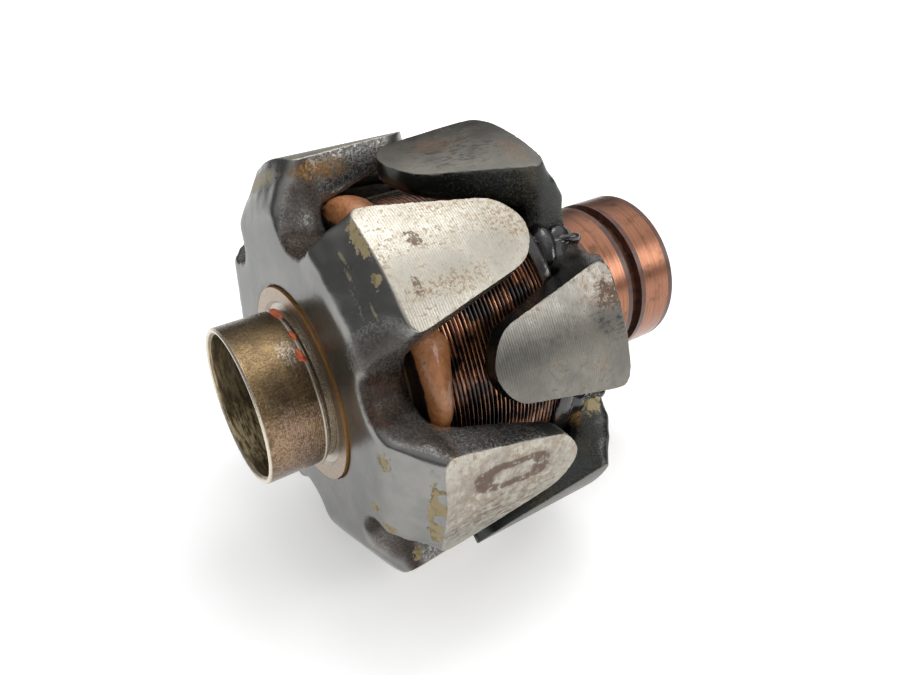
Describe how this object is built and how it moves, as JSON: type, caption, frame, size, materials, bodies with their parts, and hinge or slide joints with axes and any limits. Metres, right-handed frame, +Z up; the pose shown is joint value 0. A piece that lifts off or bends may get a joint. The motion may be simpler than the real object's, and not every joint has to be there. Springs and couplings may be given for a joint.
{
  "type": "alternator rotor",
  "caption": "Used claw-pole rotor with interlocking claws over a copper field winding, a hollow tapered hub with a sleeve, and copper slip rings.",
  "frame": {"origin": "on the rotor's axis, midway between the two pole pieces", "axes": "+X along the rotor's axis towards the slip rings, +Z up with the rotor lying on its claws, +Y across it"},
  "size_m": [0.0855, 0.0738, 0.0738],
  "materials": {
    "pole_paint": "glossy black varnish over forged steel, with bare, finely turned and rust-specked claw faces",
    "hub_steel": "turned steel with a golden-brown patina and fine rust",
    "collar_steel": "dull pinkish-beige pressed steel with amber varnish at its edge",
    "core_steel": "plain mild steel",
    "bobbin_resin": "tan-orange moulded bobbin under glossy varnish",
    "fibre": "brown pressed fibre",
    "enamelled_wire": "copper wire with dark red-brown enamel and varnish",
    "insulator_resin": "dark brown moulded phenolic",
    "slip_ring_copper": "copper, brushed round by the carbon brushes"
  },
  "bodies": {
    "root": {"front_pole_piece": "pole_paint", "rear_pole_piece": "pole_paint", "hub": "hub_steel", "collar_ring": "collar_steel", "pole_core": "core_steel", "bobbin_tube": "bobbin_resin", "bobbin_front_flange": "bobbin_resin", "bobbin_rear_flange": "bobbin_resin", "front_fibre_washer": "fibre", "rear_fibre_washer": "fibre", "field_winding": "enamelled_wire", "slip_ring_insulator": "insulator_resin", "slip_ring_inner": "slip_ring_copper", "slip_ring_outer": "slip_ring_copper"}
  },
  "joints": []
}
